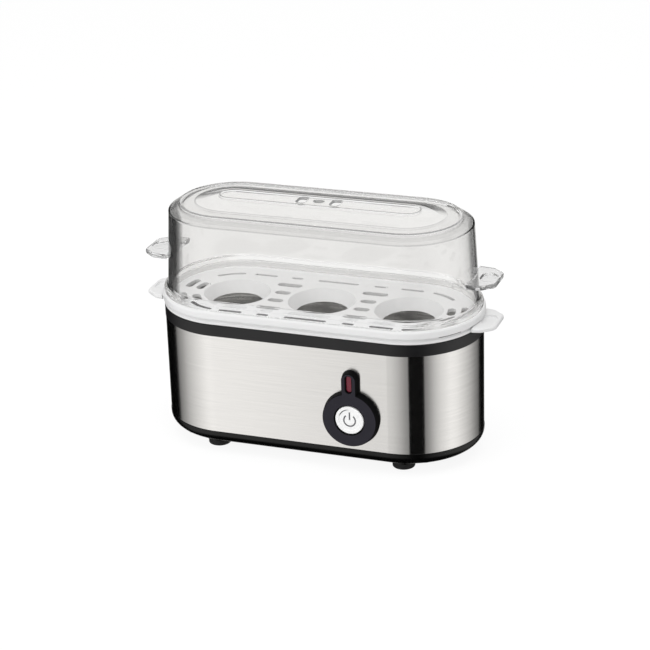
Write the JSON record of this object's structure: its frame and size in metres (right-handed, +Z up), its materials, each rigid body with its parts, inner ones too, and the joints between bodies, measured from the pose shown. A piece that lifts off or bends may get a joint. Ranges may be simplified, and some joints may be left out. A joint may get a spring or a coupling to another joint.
{
  "type": "electric egg cooker",
  "caption": "Long steam cooker with a clear lid, white perforated tray, brushed steel body and a keyhole-shaped push-button control.",
  "frame": {"origin": "centre of the bounding box at the underside of the feet", "axes": "+X along the length, -Y towards the control, +Z up"},
  "size_m": [0.21, 0.0906, 0.1441],
  "materials": {
    "black_base": "black satin moulding",
    "foot_rubber": "matt black rubber",
    "screw_steel": "zinc plated",
    "brushed_steel": "brushed along the length",
    "black_collar": "fine matt moulding",
    "seal_silicone": "translucent silicone",
    "plate_steel": "polished pressing",
    "element_sheath": "dull steel tube",
    "strap_steel": "plated strip",
    "thermostat_black": "phenolic body",
    "fuse_sleeve": "glass-fibre sleeve",
    "black_bezel": "fine matt moulding",
    "switch_plastic": "moulded",
    "red_lens": "tinted, unlit",
    "lamp_glass": "clear bulb",
    "block_plastic": "moulded",
    "gland_plastic": "moulded",
    "wire_sleeve": "heat-proof sleeve",
    "white_button": "satin white",
    "white_tray": "satin white moulding",
    "clear_lid": "clear moulded plastic"
  },
  "bodies": {
    "base": {"base_pan": "black_base", "foot_front_left": "foot_rubber", "foot_front_right": "foot_rubber", "foot_rear_left": "foot_rubber", "foot_rear_right": "foot_rubber", "base_screws": "screw_steel", "steel_sleeve": "brushed_steel", "top_collar": "black_collar", "plate_seal": "seal_silicone", "heating_plate": "plate_steel", "heating_element": "element_sheath", "element_pins": "screw_steel", "clamp_strap_left": "strap_steel", "clamp_strap_right": "strap_steel", "stud_nuts": "screw_steel", "thermostat": "thermostat_black", "thermal_fuse": "fuse_sleeve", "fuse_clip": "strap_steel", "control_bezel": "black_bezel", "control_bracket": "strap_steel", "switch_body": "switch_plastic", "bracket_screws": "screw_steel", "indicator_lens": "red_lens", "lamp_holder": "switch_plastic", "indicator_lamp": "lamp_glass", "terminal_block": "block_plastic", "cord_gland": "gland_plastic", "wiring": "wire_sleeve"},
    "button": {"power_button": "white_button", "button_plunger": "switch_plastic"},
    "tray": {"egg_tray": "white_tray"},
    "lid": {"lid": "clear_lid"}
  },
  "joints": [
    {"name": "tray_lift", "type": "slide", "parent": "base", "child": "tray", "axis": [0, 0, 1], "range_m": [0, 0.06]},
    {"name": "lid_lift", "type": "slide", "parent": "tray", "child": "lid", "axis": [0, 0, 1], "range_m": [0, 0.08]},
    {"name": "button_press", "type": "slide", "parent": "base", "child": "button", "axis": [0, 1, 0], "range_m": [0, 0.0022], "stiffness_N_per_m": 500, "springref_m": -0.002}
  ]
}
